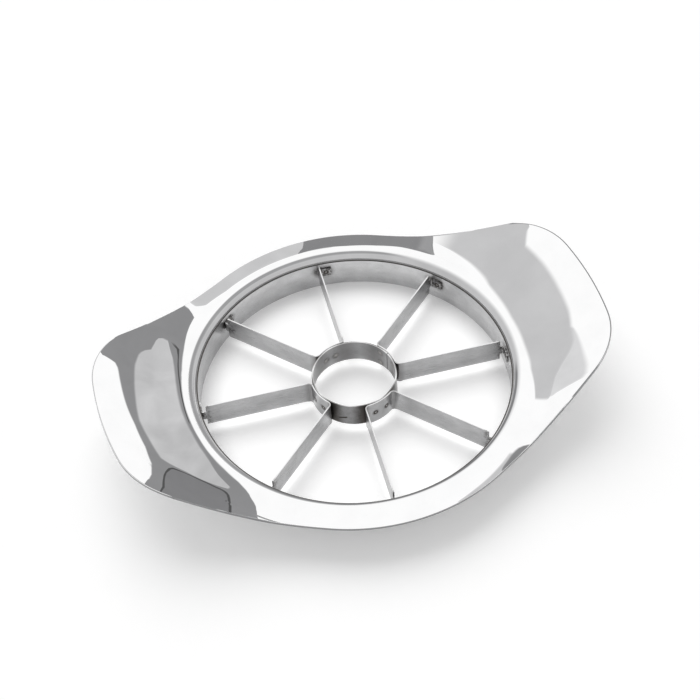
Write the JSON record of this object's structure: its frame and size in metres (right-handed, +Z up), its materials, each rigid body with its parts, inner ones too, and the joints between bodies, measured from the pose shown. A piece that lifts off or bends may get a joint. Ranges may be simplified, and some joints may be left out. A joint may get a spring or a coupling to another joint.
{
  "type": "apple slicer",
  "caption": "Hand-pushed apple slicer in stainless steel: a polished sheet frame with two raised wing handles, a round hoop, radial blades and a core ring.",
  "frame": {"origin": "on the core ring's axis, in the plane of the hoop's lower edge, which rests on the table", "axes": "+X along the wings, +Y across them, +Z up along the core ring's axis, away from the table"},
  "size_m": [0.1494, 0.1116, 0.0221],
  "materials": {
    "polished_sheet": "mirror-polished stainless steel",
    "satin_strip": "satin rolled stainless steel strip",
    "blade_steel": "finely ground stainless steel",
    "weld": "heat-tinted spot weld"
  },
  "bodies": {
    "root": {"frame_plate": "polished_sheet", "blade_hoop": "satin_strip", "hoop_seam_weld": "weld", "core_ring": "satin_strip", "blade_strip_1": "blade_steel", "blade_strip_2": "blade_steel", "blade_strip_3": "blade_steel", "blade_strip_4": "blade_steel", "core_spot_welds": "weld", "hoop_spot_welds": "weld"}
  },
  "joints": []
}
